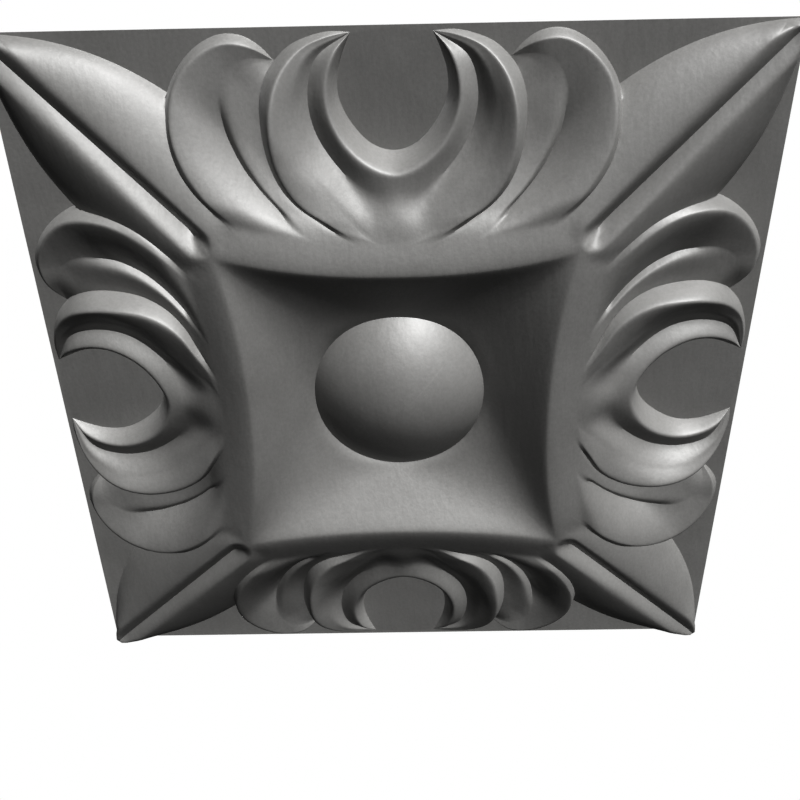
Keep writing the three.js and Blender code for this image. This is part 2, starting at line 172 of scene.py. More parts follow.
def hollow(t):
    return t ** GROOVE_HOLLOW


WALL = round_over(1.2)
FLANK = round_over(1.5)


class CarvedLine:
    """A smooth line through the given points, sampled by its share of length and kept above the ground."""

    STEPS = 40

    def __init__(self, points, start=0.0):
        points = np.array(points, float)
        ends = [2 * points[0] - points[1], *points, 2 * points[-1] - points[-2]]
        steps = np.arange(1, self.STEPS + 1)[:, None] / self.STEPS
        drawn = [points[:1]]
        for before, first, last, after in zip(ends, ends[1:], ends[2:], ends[3:]):
            pairs = ((before, first), (first, last), (last, after))
            gap_before, gap, gap_after = (np.linalg.norm(b - a) ** 0.5 for a, b in pairs)
            leave = ((first - before) / gap_before - (last - before) / (gap_before + gap)) * gap
            leave = leave + last - first
            arrive = ((after - last) / gap_after - (after - first) / (gap + gap_after)) * gap
            arrive = arrive + last - first
            square = 3 * (last - first) - 2 * leave - arrive
            cube = 2 * (first - last) + leave + arrive
            drawn.append(first + leave * steps + square * steps ** 2 + cube * steps ** 3)
        self.drawn = np.concatenate(drawn)
        lengths = np.linalg.norm(np.diff(self.drawn, axis=0), axis=1)
        self.travel = np.concatenate([[0], np.cumsum(lengths)])
        self.start = start

    def share_at_knot(self, knot):
        return self.travel[knot * self.STEPS] / self.travel[-1]

    def at(self, shares):
        reached = (self.start + np.asarray(shares) * (1 - self.start)) * self.travel[-1]
        points = np.stack([np.interp(reached, self.travel, axis) for axis in self.drawn.T], axis=-1)
        points[:, 2] = np.maximum(points[:, 2], 0)
        return points


def rows_between(first, last, count, profile):
    """Rows of points from one line to the next, the first line's own row included."""
    rows = []
    for t in np.arange(count) / count:
        row = first + (last - first) * t
        row[:, 2] = first[:, 2] + (last[:, 2] - first[:, 2]) * profile(t)
        rows.append(row)
    return rows


def shares_through(parting, before, after):
    """Shares of a line's length, evenly spaced up to the parting and again past it."""
    return np.concatenate([np.linspace(0, parting, before + 1), np.linspace(parting, 1, after + 1)[1:]])


def slopes_at_knot(before, after, sharpness):
    """Slopes of a section on both sides of a knot: run on where it climbs or falls through, and at a bed or
    crest each side keeps the given share of its own slope."""
    through = before * after > 0
    total = np.where(through, before + after, 1)
    steady = np.where(through, 2 * before * after / total, 0)
    return np.where(through, steady, sharpness * before), np.where(through, steady, sharpness * after)


def rows_through(lines, count, sharpness):
    """Rows through a run of lines, bending smoothly and never past a crest or bed."""
    widths = [np.hypot(*(b - a)[:, :2].T)[:, None] + TINY for a, b in zip(lines, lines[1:])]
    headings = [(b - a) / width for a, b, width in zip(lines, lines[1:], widths)]
    befores, afters = [headings[0], *headings], [*headings, headings[-1]]
    sides = list(zip(befores, afters))
    bends = [np.clip((before * after)[:, :2].sum(axis=1), 0, 1)[:, None] / 2 for before, after in sides]
    arrives = [before + (after - before) * bend for (before, after), bend in zip(sides, bends)]
    leaves = [after + (before - after) * bend for (before, after), bend in zip(sides, bends)]
    level = 0 * headings[0][:, 2]
    for knot, share in enumerate(sharpness):
        before = befores[knot][:, 2] if knot > 0 else level
        after = afters[knot][:, 2] if knot < len(headings) else level
        arrives[knot][:, 2], leaves[knot][:, 2] = slopes_at_knot(before, after, share)
    rows = []
    for start, end, leave, arrive, width in zip(lines, lines[1:], leaves, arrives[1:], widths):
        for t in np.arange(count) / count:
            bend = t * (1 - t) * ((1 - t) * leave - t * arrive) * width
            rows.append(start * (1 - swell(t)) + end * swell(t) + bend)
    return rows


class Relief:
    """The eighth of the block between a leaf's axis and the diagonal: across, out and height in metres."""

    def __init__(self, sizes):
        self.sizes = sizes
        self.half = sizes.block_side / 2

    def rim_out(self, across):
        sizes = self.sizes
        bow = (abs(across) / sizes.corner_reach) ** RIM_BOW
        return sizes.rim_reach + (sizes.corner_reach - sizes.rim_reach) * bow

    def rim_height(self, across):
        drop = (abs(across) / self.sizes.corner_reach) ** RIM_DROP
        return self.sizes.rim_height - self.sizes.corner_drop * drop

    def cove_height(self, across, out):
        """The plain cove round the rim, from which the carving grows."""
        roll = self.sizes.rim_roll
        away = out - self.rim_out(across)
        steeper = self.sizes.cove_slope - self.sizes.cove_corner_slope
        fall = self.sizes.cove_slope - steeper * (across / self.sizes.corner_reach) ** 2
        return self.rim_height(across) - fall * (np.hypot(away, roll) - roll)

    def fade_in(self, points):
        """Gives points near the collar the cove's height, and lets the carved height take over outwards."""
        away = points[..., 1] - self.rim_out(points[..., 0])
        share = swell(np.clip((away - self.sizes.collar) / self.sizes.fade, 0, 1))
        cove = self.cove_height(points[..., 0], points[..., 1])
        points[..., 2] = cove + (points[..., 2] - cove) * share
        return points

    def dart_half_width(self, along):
        tip = self.sizes.dart_tip
        return self.sizes.dart_width / 2 * (1 - (np.clip(along, 0, tip) / tip) ** DART_POINT)

    def dart_ridge_aside(self, along):
        opening = np.sqrt(np.clip(along / self.sizes.groove_opening, 0, 1))
        return np.minimum(self.sizes.groove_width / 2 * opening, self.dart_half_width(along))

    def dart_ridge_height(self, along):
        return self.sizes.rim_height - self.sizes.corner_drop - self.sizes.dart_fall * along

    def dart_point(self, along, aside, height):
        middle = self.sizes.corner_reach + along * (self.half - self.sizes.corner_reach)
        shift = aside * math.sqrt(0.5)
        return np.stack([middle - shift, middle + shift, height + 0 * middle], axis=-1)

    def dart_along(self, across, out):
        return ((across + out) / 2 - self.sizes.corner_reach) / (self.half - self.sizes.corner_reach)

    def dart_height(self, across, out):
        along = self.dart_along(across, out)
        edge, ridge = self.dart_half_width(along), self.dart_ridge_aside(along)
        climb = np.clip((edge - (out - across) * math.sqrt(0.5)) / np.maximum(edge - ridge, TINY), 0, 1)
        return self.dart_ridge_height(along) * FLANK(climb)

    def leaf_point(self, entry):
        across = entry[0] * self.half
        out = self.sizes.rim_reach + entry[1] * (self.half - self.sizes.rim_reach)
        if entry[2] is None:
            return across, out, self.dart_height(across, out)
        return across, out, entry[2] * self.sizes.rim_height

    def line_across(self, table):
        """A line that crosses the leaf's axis is drawn whole, and its right half is used."""
        half = [self.leaf_point(entry) for entry in table]
        mirrored = [(-across, out, height) for across, out, height in half[:0:-1]]
        return CarvedLine(mirrored + half, start=0.5)

    def line_from_collar(self, table):
        across = table[0] * self.half
        out = self.rim_out(across) + self.sizes.collar
        start = (across, out, self.cove_height(across, out))
        return CarvedLine([start] + [self.leaf_point(entry) for entry in table[1:]])

    def outer_foot_line(self):
        """The outer lobe's foot, which reaches the ground on the dart's outline."""
        across, out = self.leaf_point(OUTER_FOOT[DART_KNOT])[:2]
        along = self.dart_along(across, out)
        meeting = self.dart_point(along, self.dart_half_width(along), 0)
        rim = self.sizes.rim_reach
        entry = (meeting[0] / self.half, (meeting[1] - rim) / (self.half - rim), 0)
        return self.line_from_collar(OUTER_FOOT[:DART_KNOT] + [entry] + OUTER_FOOT[DART_KNOT + 1:])

    def bowl_height(self, across, out):
        """Height of the bowl, nearly round at the boss, squarer towards the rim and rolled over there."""
        sizes = self.sizes
        aside, ahead = np.abs(across) / self.rim_out(out), np.abs(out) / self.rim_out(across)
        boss = sizes.boss_radius / sizes.rim_reach
        gone = np.hypot(aside, ahead)
        for settle in range(SETTLES):
            squareness = np.clip((gone - boss) / (1 - boss), 0, 1) ** sizes.bowl_squareness
            power = BOWL_AT_BOSS / (1 - (1 - BOWL_AT_BOSS / BOWL_AT_RIM) * squareness)
            gone = (gone + (aside ** power + ahead ** power) ** (1 / power)) / 2
        climb = np.clip(1 - (1 - gone) * sizes.rim_reach / (sizes.rim_reach - sizes.bowl_flat), 0, 1)
        roll = sizes.bowl_roll
        rolled = 1 - (np.hypot(1 - climb, roll) - roll) / (math.hypot(1, roll) - roll)
        level = sizes.rim_height - sizes.corner_drop * (aside * ahead) ** RIM_DROP
        return sizes.bowl_floor + (level - sizes.bowl_floor) * rolled ** sizes.bowl_curve

    def main_lobe(self, shares, foot_line, rows):
        """Wall of the eye, band, flute, belly and crest of the main lobe, and the wall behind the crest."""
        eye_foot, band, flute = (self.line_across(table).at(shares)
                                 for table in (EYE_FOOT, BAND_CREST, FLUTE_BED))
        belly, crest = (self.line_from_collar(table).at(shares) for table in (LEAF_BELLY, MAIN_CREST))
        foot = foot_line.at(shares)
        eye_wall = rows_between(eye_foot, band, rows, WALL)
        crisp = FLUTE_SHARPNESS * swell(np.clip((shares - CRISP_FROM) / CRISP_OVER, 0, 1))
        face = rows_through([band, flute, belly, crest], rows, [BAND_SHARPNESS, crisp, 0, CREST_SHARPNESS])
        outer_wall = rows_between(crest, foot, rows, fall_of(WALL))
        return np.array(eye_wall + [self.fade_in(row) for row in face + outer_wall] + [foot])

    def outer_lobe(self, shares, inner, foot_line, rows):
        """The fold beside the main lobe, the flute past it, the crest and the wall down to the dart."""
        fold_crest, fold_foot, crest = (self.line_from_collar(table).at(shares)
                                        for table in (FOLD_CREST, FOLD_FOOT, OUTER_CREST))
        foot = foot_line.at(shares)
        fold = rows_between(inner, fold_crest, rows, swell)
        fold += rows_between(fold_crest, fold_foot, rows // 2, slope)
        face = np.array(fold + rows_between(fold_foot, crest, 2 * rows, ease_out))
        steps = np.hypot(*np.moveaxis(np.diff(np.concatenate([face, [crest]]), axis=0)[..., :2], -1, 0))
        walked = np.cumsum(steps, axis=0)
        part = np.concatenate([0 * steps[:1], walked[:-1]]) / np.maximum(walked[-1], TINY)
        plain = inner[:, 2] + (crest[:, 2] - inner[:, 2]) * part
        past_end = (shares - self.sizes.fold_end) / (1 - self.sizes.fold_end)
        left = 1 - swell(np.clip(past_end * FOLD_PACE, 0, 1))
        face[..., 2] = plain + (face[..., 2] - plain) * left
        wall = rows_between(crest, foot, rows, fall_of(WALL))
        return np.array([inner] + [self.fade_in(row) for row in [*face[1:], *wall]] + [foot])

    def collar_patch(self, starts, rows):
        """The collar from the rim to the starts of the lines, which stand closer together at the rim."""
        spread = self.sizes.dart_start / starts[-1, 0]
        patch = []
        for t in np.linspace(0, 1, rows + 1)[:-1]:
            across = starts[:, 0] * (spread + (1 - spread) * t)
            out = self.rim_out(across) + self.sizes.collar * t
            patch.append(np.stack([across, out, self.cove_height(across, out)], axis=-1))
        return np.array(patch + [starts])

    def dart_patch(self, edge, first_stations, rows):
        """The dart from its edge to the ridge and down into the groove along the diagonal."""
        sizes = self.sizes
        along = np.maximum(self.dart_along(edge[:, 0], edge[:, 1]), 0)
        stations = np.arange(len(edge))
        crowded = along[first_stations] * (stations / first_stations) ** DART_CROWDING
        along = np.where(stations <= first_stations, crowded, along)
        aside, height = self.dart_ridge_aside(along), self.dart_ridge_height(along)
        ridge = self.dart_point(along, aside, height)
        depth = sizes.groove_share * aside / (sizes.groove_width / 2)
        groove = self.dart_point(along, 0 * along, height * (1 - depth))
        flank = []
        for t in np.linspace(0, 1, 2 * rows + 1)[:-1]:
            row = edge + (ridge - edge) * t
            row[0, 0] = edge[0, 0] + (sizes.corner_reach - edge[0, 0]) * t
            row[0, 1] = self.rim_out(row[0, 0])
            row[:, 2] = self.dart_height(row[:, 0], row[:, 1])
            flank.append(row)
        dart = np.array(flank + rows_between(ridge, groove, rows // 2, hollow) + [groove])
        across, out = dart[..., 0], dart[..., 1]
        outward = np.clip((out - across) / np.maximum(edge[:, 1] - edge[:, 0], TINY), 0, 1) ** 2
        rise = sizes.dart_rise + (sizes.fade - sizes.dart_rise) * outward
        risen = swell(np.clip((out - self.rim_out(across) - sizes.collar * outward) / rise, 0, 1))
        cove = self.cove_height(across, out)
        dart[..., 2] = cove + (dart[..., 2] - cove) * risen
        dart[0] = edge
        return dart

    def bowl_and_boss(self, rim, rows):
        """The bowl from its rim down to the boss, and the boss, a cap of a sphere that stands on the bowl."""
        sizes = self.sizes
        turn = np.arctan2(rim[:, 0], rim[:, 1])
        heading = np.stack([np.sin(turn), np.cos(turn)], axis=-1)
        sphere = (sizes.boss_radius ** 2 + sizes.boss_height ** 2) / (2 * sizes.boss_height)
        middle = sizes.bowl_floor + sizes.boss_height - sphere
        reach = np.full(len(rim), sizes.boss_radius)
        for settle in range(SETTLES):
            standing = self.bowl_height(heading[:, 0] * reach, heading[:, 1] * reach)
            reach = np.sqrt(sphere ** 2 - (standing - middle) ** 2)
        foot = np.concatenate([heading * reach[:, None], standing[:, None]], axis=-1)
        steps = np.linspace(0, 1, 2 * rows + 1)
        steps = (steps - BOWL_CROWDING * np.sin(2 * math.pi * steps))[:, None]
        bowl = rim + (foot - rim) * steps[..., None]
        bowl[..., 2] = self.bowl_height(bowl[..., 0], bowl[..., 1])
        bowl[..., 2] += (rim[:, 2] - bowl[0, :, 2]) * (1 - steps) ** 2
        boss = [foot]
        for t in np.linspace(0, 1, rows + 1)[1:] ** BOSS_CROWDING:
            angle = (np.arcsin(reach / sphere) * (1 - t))[:, None]
            height = middle + sphere * np.cos(angle)
            boss.append(np.concatenate([heading * sphere * np.sin(angle), height], axis=-1))
        return bowl, np.array(boss)

    def carve(self, fineness):
        """All carved patches of the eighth, each a grid of rows and stations, and the lines that bound the
        bare ground: along the leaf's axis, round the eye, round the carving, and along the block's edge."""
        rows = fineness
        to_fork, past_fork, to_dart = (int(stations * fineness) for stations in (TO_FORK, PAST_FORK, TO_DART))
        past_dart = to_fork - to_dart
        fork_line = self.line_from_collar(MAIN_FOOT)
        dart_line = self.outer_foot_line()
        main_shares = shares_through(fork_line.share_at_knot(FORK_KNOT), to_fork, past_fork)
        outer_shares = shares_through(dart_line.share_at_knot(DART_KNOT), to_dart, past_dart)
        main = self.main_lobe(main_shares, fork_line, rows)
        main[-1, :to_fork] = self.fade_in(main[-1, :to_fork])
        outer = self.outer_lobe(outer_shares, main[-1, :to_fork + 1], dart_line, rows)
        foot = outer[-1]
        foot[:to_dart, 2] = self.dart_height(foot[:to_dart, 0], foot[:to_dart, 1])
        foot[:to_dart] = self.fade_in(foot[:to_dart])

        collar = self.collar_patch(np.concatenate([main[3 * rows:, 0], outer[1:, 0]]), rows // 2)
        meeting = self.dart_along(foot[to_dart, 0], foot[to_dart, 1])
        open_along = np.linspace(meeting, self.sizes.dart_tip, past_dart + 1)[1:]
        open_edge = self.dart_point(open_along, self.dart_half_width(open_along), 0)
        dart_edge = np.concatenate([collar[:-1, -1], foot[:to_dart + 1], open_edge])
        dart = self.dart_patch(dart_edge, len(collar) - 1 + to_dart // 2, rows)
        bowl, boss = self.bowl_and_boss(np.concatenate([collar[0], dart[1:2 * rows + 1, 0]]), rows)

        eye_axis = np.zeros_like(main[0])
        eye_axis[:, 1] = np.linspace(main[0, 0, 1], self.half, len(eye_axis))
        outline = np.concatenate([main[-1, to_fork:][::-1], foot[to_dart:][::-1][1:], open_edge])
        border = outline * [1, 0, 0] + [0, self.half, 0]
        border[-1, 0] = self.half
        return [main, outer, collar[::-1], dart, bowl, boss], [eye_axis, main[0], outline, border]


def grid_faces(first, rows, stations):
    """Quads of a grid of points, facing out of the front."""
    corner = first + np.arange(rows - 1)[:, None] * stations + np.arange(stations - 1)
    return np.stack([corner, corner + stations, corner + stations + 1, corner + 1], axis=-1).reshape(-1, 4)


def eighth_surface(relief, fineness):
    """Points and faces of the eighth: its carving, the bare ground, the side of the plate and its back."""
    patches, (eye_axis, eye_foot, outline, border) = relief.carve(fineness)
    front = np.concatenate([eye_axis[-1:], border])
    cut = 1 - 2 * relief.sizes.back_cut / relief.sizes.block_side
    back = front * [cut, cut, 1] - [0, 0, PLATE_THICKNESS]
    patches += [np.array([eye_axis, eye_foot]), np.array([border, outline]), np.array([back, front])]
    points, faces, count = [], [], 0
    for patch in patches:
        points.append(patch.reshape(-1, 3))
        faces += grid_faces(count, *patch.shape[:2]).tolist()
        count += len(points[-1])
    points += [np.array([eye_axis[-1], outline[0], border[0]]), back, np.array([[0, 0, -PLATE_THICKNESS]])]
    faces.append([count, count + 1, count + 2])
    middle = count + 3 + len(back)
    faces += [[middle, count + 3 + place, count + 4 + place] for place in range(len(back) - 1)]
    return np.concatenate(points), faces


def sand(mesh, sizes):
    """Rubs down the arrises of the carving: a point only ever moves inwards, so the creases stay as cut. The
    boss is left as it was made."""
    points, normals = np.empty((2, len(mesh.vertices), 3))
    ends = np.empty((len(mesh.edges), 2), dtype=int)
    mesh.vertices.foreach_get("co", points.reshape(-1))
    mesh.edges.foreach_get("vertices", ends.reshape(-1))
    near, far = np.concatenate([ends, ends[:, ::-1]]).T
    neighbours = np.bincount(near, minlength=len(points))[:, None]
    outside_boss = np.hypot(points[:, 0], points[:, 2]) > sizes.boss_radius
    carved = outside_boss & (points[:, 1] < -PLATE_THICKNESS - WELD)
    for sanding in range(sizes.sandings):
        mesh.vertex_normals.foreach_get("vector", normals.reshape(-1))
        around = np.stack([np.bincount(near, weights=places) for places in points[far].T], axis=-1)
        inwards = around / neighbours - points
        by_bend = carved & ((inwards * normals).sum(axis=-1) < 0)
        points[by_bend] += inwards[by_bend] / 2
        mesh.vertices.foreach_set("co", points.reshape(-1))
        mesh.update()


def block_mesh(sizes):
    """The block: the eighth and its mirror image turned to the four sides, welded and rubbed down."""
    points, faces = eighth_surface(Relief(sizes), sizes.fineness)
    placed, laid = [], []
    for quarter in range(4):
        sine, cosine = round(math.sin(quarter * math.pi / 2)), round(math.cos(quarter * math.pi / 2))
        for side in (1, -1):
            across, out, height = points[:, 0] * side, points[:, 1], points[:, 2]
            first = len(placed) * len(points)
            placed.append(np.stack([across * cosine - out * sine, -PLATE_THICKNESS - height,
                                    across * sine + out * cosine], axis=-1))
            laid += [[first + corner for corner in face[::side]] for face in faces]
    mesh = bpy.data.meshes.new("rosette_carved")
    mesh.from_pydata(np.concatenate(placed).tolist(), [], laid)
    shell = bmesh.new()
    shell.from_mesh(mesh)
    bmesh.ops.remove_doubles(shell, verts=shell.verts, dist=WELD)
    bmesh.ops.dissolve_degenerate(shell, edges=shell.edges, dist=WELD / 10)
    shell.to_mesh(mesh)
    shell.free()
    sand(mesh, sizes)
    mesh.shade_smooth()
    mesh.set_sharp_from_angle(angle=sizes.arris)
    return mesh


class NodeBoard:
    """Lays nodes in a tree from left to right and links them."""

    SPACING = 220

    def __init__(self, tree):
        self.tree = tree
        self.tree.nodes.clear()
        self.place = 0

    def add(self, kind, name, settings=None, **inputs):
        node = self.tree.nodes.new(kind)
        node.name = node.label = name
        node.location = (self.place, 0)
        self.place += self.SPACING
        for key, value in (settings or {}).items():
            setattr(node, key, value)
        for key, value in inputs.items():
            self.feed(node, key.replace("_", " "), value)
        return node

    def feed(self, node, socket, value):
        if isinstance(value, bpy.types.NodeSocket):
            self.tree.links.new(value, node.inputs[socket])
        else:
            node.inputs[socket].default_value = value

    def blend(self, name, first, second):
        """The first colour darkened by the second."""
        node = self.add("ShaderNodeMix", name, {"data_type": "RGBA", "blend_type": "MULTIPLY"})
        colours = [socket for socket in node.inputs if socket.type == "RGBA"]
        node.inputs["Factor"].default_value = 1
        self.tree.links.new(first, colours[0])
        self.tree.links.new(second, colours[1])
        return next(socket for socket in node.outputs if socket.type == "RGBA")

    def ramp(self, name, factor, stops):
        """A colour ramp through the given places and greys or colours."""
        node = self.add("ShaderNodeValToRGB", name, Fac=factor)
        marks = node.color_ramp.elements
        while len(marks) < len(stops):
            marks.new(0.5)
        for mark, (place, colour) in zip(marks, stops):
            mark.position = place
            mark.color = (colour, colour, colour, 1) if isinstance(colour, float) else (*colour, 1)
        return node.outputs["Color"]


def stone_material(finish):
    """Grey limestone honed to a satin, with fine grain, faint clouding, the drag of the rasp and painted
    shade in its creases.
    """
    material = bpy.data.materials.new("stone_honed")
    material.use_nodes = True
    board = NodeBoard(material.node_tree)
    place = board.add("ShaderNodeTexCoord", "Place on the block").outputs["Object"]
    cloud = board.add("ShaderNodeTexNoise", "Clouding", Vector=place, Scale=1 / finish.cloud_size, Detail=4.0,
                      Roughness=0.6).outputs["Fac"]
    grain = board.add("ShaderNodeTexNoise", "Grain", Vector=place, Scale=1 / finish.grain_size, Detail=3.0,
                      Roughness=0.65).outputs["Fac"]
    drag = board.add("ShaderNodeMapping", "Drag of the rasp", Vector=place, Rotation=(0.0, 0.7, 0.0),
                     Scale=(1.0, 1.0, 0.25)).outputs["Vector"]
    marks = board.add("ShaderNodeTexNoise", "Rasp marks", Vector=drag, Scale=1 / finish.mark_size, Detail=2.0,
                      Roughness=0.5).outputs["Fac"]
    bend = board.add("ShaderNodeNewGeometry", "Arrises and creases").outputs["Pointiness"]
    tone = board.ramp("Stone tones", cloud,
                      [(0.3, tuple(finish.dark_stone)), (0.7, tuple(finish.pale_stone))])
    speckle = board.ramp("Speckle", grain, [(0.36, 1 - finish.speckle), (0.64, 1.0)])
    # Painted shade: the stone is darkened by pointiness, most in the creases, a little on plain faces and not
    # on arrises.
    by_bend = board.ramp("Rubbed arrises, dusty creases", bend,
                        [(CREASE, 1 - finish.crease_shade), (PLAIN, 1 - finish.crease_shade / 3), (ARRIS, 1.0)])
    speckled = board.blend("Speckled stone", tone, speckle)
    colour = board.blend("Worn stone", speckled, by_bend)
    rough = board.add("ShaderNodeMapRange", "Satin and dull patches", Value=cloud,
                      From_Min=0.25, From_Max=0.75, To_Min=finish.roughness + SATIN,
                      To_Max=finish.roughness + DULL).outputs["Result"]
    fine = board.add("ShaderNodeBump", "Grain relief", Height=grain, Strength=1.0,
                     Distance=finish.grain_depth).outputs["Normal"]
    dragged = board.add("ShaderNodeBump", "Rasp relief", Height=marks, Normal=fine, Strength=1.0,
                        Distance=finish.mark_depth).outputs["Normal"]
    shader = board.add("ShaderNodeBsdfPrincipled", "Honed stone", Base_Color=colour, Roughness=rough,
                       Normal=dragged)
    shader.inputs["Specular IOR Level"].default_value = finish.sheen
    board.add("ShaderNodeOutputMaterial", "Surface", Surface=shader.outputs["BSDF"])
    return material


def floor_material(stage):
    """Pale paper that shows white and throws little light back up."""
    material = bpy.data.materials.new("floor_paper")
    material.use_nodes = True
    board = NodeBoard(material.node_tree)
    seen = board.add("ShaderNodeLightPath", "Seen straight on").outputs["Is Camera Ray"]
    paper = board.add("ShaderNodeBsdfPrincipled", "Paper", Base_Color=(*stage.floor_bounce, 1), Roughness=0.9)
    glow = board.add("ShaderNodeEmission", "White ground", Color=(*stage.floor_colour, 1), Strength=1.0)
    shown = board.add("ShaderNodeMixShader", "Paper or white", Fac=seen)
    board.tree.links.new(paper.outputs["BSDF"], shown.inputs[1])
    board.tree.links.new(glow.outputs["Emission"], shown.inputs[2])
    board.add("ShaderNodeOutputMaterial", "Surface", Surface=shown.outputs["Shader"])
    return material


def length(name, description, default, **more):
    return bpy.props.FloatProperty(name=name, description=description, default=default, unit="LENGTH",
                                   subtype="DISTANCE", precision=5, **more)


def share(name, description, default, **more):
    return bpy.props.FloatProperty(name=name, description=description, default=default, precision=3, **more)


def colour(name, description, default):
    return bpy.props.FloatVectorProperty(name=name, description=description, default=default, subtype="COLOR",
                                         size=3, min=0, max=1)


class RosetteSizes(bpy.types.PropertyGroup):
    """Sizes of the carved block."""

    block_side: length("Block side", "Side of the square block", BLOCK_SIDE)
    back_cut: length("Back cut", "How far the plate's edges are cut back towards the wall", 0.0015)
    rim_height: length("Rim height", "Height of the bowl's rim above the plate", 0.013)
    rim_reach: length("Rim reach", "From the middle of the block to the middle of a rim", 0.0314)
    corner_reach: length("Corner reach", "From the middle to a rim's corner, along a side", 0.0356)
    corner_drop: length("Corner drop", "How far the rim drops to its corners", 0.0012)
    rim_roll: length("Rim roll", "Radius of the rim's rolled top", 0.002)
    cove_slope: share("Cove slope", "Fall of the cove outside the rim at its middle", 0.44)
    cove_corner_slope: share("Cove slope at corners", "Fall of the cove outside the rim's corners", 0.31)
    collar: length("Collar", "Width of the plain collar outside the rim", 0.0055)
    fade: length("Fade", "Distance over which the carving grows out of the collar", 0.005)
    bowl_floor: length("Bowl floor", "Height of the bowl's floor above the plate", 0.0026)
    bowl_curve: share("Bowl curve", "Power of the bowl's fall to its floor", 1.08)
    bowl_flat: length("Bowl flat", "From the middle to where the bowl's floor ends", 0.016)
    bowl_roll: share("Bowl roll", "Rounding of the bowl's wall at the rim", 0.05)
    bowl_squareness: share("Bowl squareness", "Power by which the bowl turns from round to square", 0.6)
    boss_radius: length("Boss radius", "Radius of the boss on the bowl's floor", 0.0193)
    boss_height: length("Boss height", "Height of the boss above the bowl's floor", 0.0104)
    dart_width: length("Dart width", "Width of a corner dart", 0.033)
    dart_fall: length("Dart fall", "How far a dart's ridge falls to the corner of the block", 0.0085)
    dart_tip: share("Dart tip", "Where the dart's outline closes, as a share of the diagonal", 0.995)
    dart_start: length("Dart start", "From the middle of a rim to where the corner's facets start", 0.024)
    dart_rise: length("Dart rise", "Distance over which the ridges rise from the rim's corner", 0.0035)
    groove_width: length("Groove width", "Width of the dart's groove between its ridges", 0.0056)
    groove_share: share("Groove depth", "Depth of the groove as a share of the ridge", 0.28)
    groove_opening: share("Groove opening", "Share of the dart over which the groove opens", 0.05)
    fold_end: share("Fold end", "Share of the outer lobe's length from which its fold dies away", 0.55)
    arris: bpy.props.FloatProperty(name="Arris angle", description="Edges bent more than this stay sharp",
                                   default=math.radians(40), subtype="ANGLE", unit="ROTATION")
    fineness: bpy.props.IntProperty(name="Fineness", description="Rows of facets between two carved lines",
                                    default=10, min=2, max=10)
    sandings: bpy.props.IntProperty(name="Sandings", description="Passes that rub down the arrises",
                                    default=5, min=0)


class StoneFinish(bpy.types.PropertyGroup):
    """Colours and surface of the stone."""

    dark_stone: colour("Darker stone", "Colour of the darker clouds", (0.176, 0.174, 0.169))
    pale_stone: colour("Paler stone", "Colour of the paler clouds", (0.204, 0.202, 0.197))
    cloud_size: length("Clouding", "Size of the faint clouds", 0.022)
    grain_size: length("Grain", "Size of the grain", 0.0007)
    grain_depth: length("Grain depth", "Height of the grain", 0.00002)
    mark_size: length("Rasp marks", "Width of the rasp's marks", 0.0016)
    mark_depth: length("Rasp mark depth", "Height of the rasp's marks", 0.00006)
    speckle: share("Speckle", "How much the grain darkens the stone", 0.1, min=0, max=1)
    # Strength of the painted shade that darkens the creases.
    crease_shade: share("Crease shade", "How much the painted shade darkens creases below arrises", 0.16, min=0, max=1)
    roughness: share("Roughness", "Roughness of the honed stone", 0.56, min=0, max=1)
    sheen: share("Sheen", "Strength of the satin shine", 1.0, min=0, max=1)


class StageSettings(bpy.types.PropertyGroup):
    """Floor, lights, view and camera."""

    floor_side: length("Floor side", "Side of the floor", 12.0)
    floor_colour: colour("Floor colour", "Colour of the floor as seen", (1.0, 1.0, 1.0))
    floor_bounce: colour("Floor bounce", "Colour of the light thrown back up", (0.012, 0.012, 0.012))
    key_strength: share("Key light", "Strength of the light from above", 5.0, min=0)
    front_strength: share("Front light", "Strength of the light nearer the camera", 3.0, min=0)
    back_strength: share("Back lights", "Strength of the two lights behind the block", 1.2, min=0)
    contrast: share("Contrast", "Contrast of the view", 1.33, min=1)
    ambient: share("Ambient", "Strength of the light from all round", 0.004, min=0)
    lens: bpy.props.FloatProperty(name="Lens", description="Focal length on a 36 mm sensor", default=43.456,
                                  unit="CAMERA")
    camera_place: bpy.props.FloatVectorProperty(name="Camera place", description="Where the camera stands",
                                                default=(0.00227, -0.19110, 0.10721), subtype="TRANSLATION",
                                                unit="LENGTH", precision=5)
    camera_aim: bpy.props.FloatVectorProperty(name="Camera aim", description="Where the camera looks",
                                              default=(0.00005, BLOCK_HIGH.y - PLATE_THICKNESS, -0.0042),
                                              subtype="TRANSLATION", unit="LENGTH", precision=5)
    camera_roll: bpy.props.FloatProperty(name="Camera roll", description="Turn about the line of sight",
                                         default=math.radians(1.283), subtype="ANGLE", unit="ROTATION")


class ROSETTE_OT_block(bpy.types.Operator):
    """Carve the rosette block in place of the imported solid"""

    bl_idname = "rosette.block"
    bl_label = "Carved Block"
    bl_options = {"REGISTER", "UNDO"}

    def execute(self, context):
        mesh = block_mesh(context.scene.rosette_sizes)
        mesh.materials.append(stone_material(context.scene.rosette_finish))
        block = bpy.data.objects.new("rosette_carving", mesh)
        context.scene.collection.objects.link(block)
        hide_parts("rosette")
        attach(block, "root")
        return {"FINISHED"}


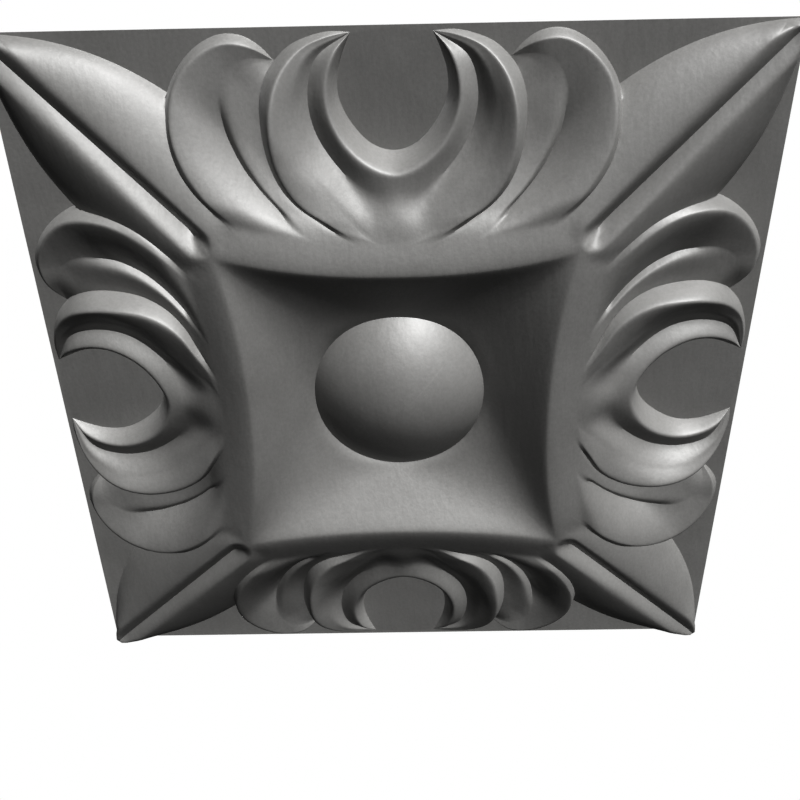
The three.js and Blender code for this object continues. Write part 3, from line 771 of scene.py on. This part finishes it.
class ROSETTE_OT_stage(bpy.types.Operator):
    """Lay the floor, hang the lights and set the camera"""

    bl_idname = "rosette.stage"
    bl_label = "Stage"
    bl_options = {"REGISTER", "UNDO"}

    def execute(self, context):
        stage = context.scene.rosette_stage
        self.lay_floor(context, stage)
        self.hang_lights(context, stage)
        self.set_backdrop(context, stage)
        self.set_camera(context, stage)
        return {"FINISHED"}

    def lay_floor(self, context, stage):
        half, level = stage.floor_side / 2, BLOCK_LOW.z
        mesh = bpy.data.meshes.new("floor")
        corners = [(-half, -half, level), (half, -half, level), (half, half, level), (-half, half, level)]
        mesh.from_pydata(corners, [], [(0, 1, 2, 3)])
        mesh.materials.append(floor_material(stage))
        floor = bpy.data.objects.new("floor", mesh)
        context.scene.collection.objects.link(floor)

    def hang_lights(self, context, stage):
        for name, (strength, towards, disc) in SUNS.items():
            light = bpy.data.lights.new(name, "SUN")
            light.energy = getattr(stage, strength)
            light.angle = math.radians(disc)
            light.use_shadow = False
            lamp = bpy.data.objects.new(name, light)
            lamp.rotation_euler = Vector(towards).to_track_quat("Z", "Y").to_euler()
            context.scene.collection.objects.link(lamp)

    def set_backdrop(self, context, stage):
        world = bpy.data.worlds.new("studio")
        world.use_nodes = True
        board = NodeBoard(world.node_tree)
        seen = board.add("ShaderNodeLightPath", "Seen straight on").outputs["Is Camera Ray"]
        strength = board.add("ShaderNodeMapRange", "White behind, dim all round", Value=seen,
                             To_Min=stage.ambient, To_Max=1.0).outputs["Result"]
        backdrop = board.add("ShaderNodeBackground", "Backdrop", Color=(1, 1, 1, 1), Strength=strength)
        board.add("ShaderNodeOutputWorld", "World", Surface=backdrop.outputs["Background"])
        context.scene.world = world
        context.scene.view_settings.view_transform = "Standard"
        context.scene.view_settings.gamma = 1 / stage.contrast

    def set_camera(self, context, stage):
        data = bpy.data.cameras.new("camera")
        data.lens = stage.lens
        data.sensor_width = SENSOR_WIDTH
        data.clip_start = NEAREST_SHOWN
        camera = bpy.data.objects.new("camera", data)
        place, aim = Vector(stage.camera_place), Vector(stage.camera_aim)
        sight = (aim - place).to_track_quat("-Z", "Y").to_matrix()
        turned = Matrix.Rotation(stage.camera_roll, 3, aim - place) @ sight
        camera.matrix_world = Matrix.Translation(place) @ turned.to_4x4()
        context.scene.collection.objects.link(camera)
        context.scene.camera = camera


class ROSETTE_PT_panel(bpy.types.Panel):
    """Sizes, finish and pieces of the rosette block"""

    bl_idname = "ROSETTE_PT_panel"
    bl_label = "Carved Rosette Block"
    bl_space_type = "VIEW_3D"
    bl_region_type = "UI"
    bl_category = "Rosette"

    def draw(self, context):
        layout = self.layout
        for operator in (ROSETTE_OT_block, ROSETTE_OT_stage):
            layout.operator(operator.bl_idname)
        for group in (context.scene.rosette_sizes, context.scene.rosette_finish, context.scene.rosette_stage):
            box = layout.box()
            for name in group.__annotations__:
                box.prop(group, name)


GROUPS = {"rosette_sizes": RosetteSizes, "rosette_finish": StoneFinish, "rosette_stage": StageSettings}
CLASSES = (*GROUPS.values(), ROSETTE_OT_block, ROSETTE_OT_stage, ROSETTE_PT_panel)


def register():
    for made in CLASSES:
        bpy.utils.register_class(made)
    for name, group in GROUPS.items():
        setattr(bpy.types.Scene, name, bpy.props.PointerProperty(type=group))


def unregister():
    for name in GROUPS:
        delattr(bpy.types.Scene, name)
    for made in reversed(CLASSES):
        bpy.utils.unregister_class(made)


def main():
    register()
    bpy.ops.rosette.block()
    bpy.ops.rosette.stage()
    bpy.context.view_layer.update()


if __name__ == "__main__":
    main()
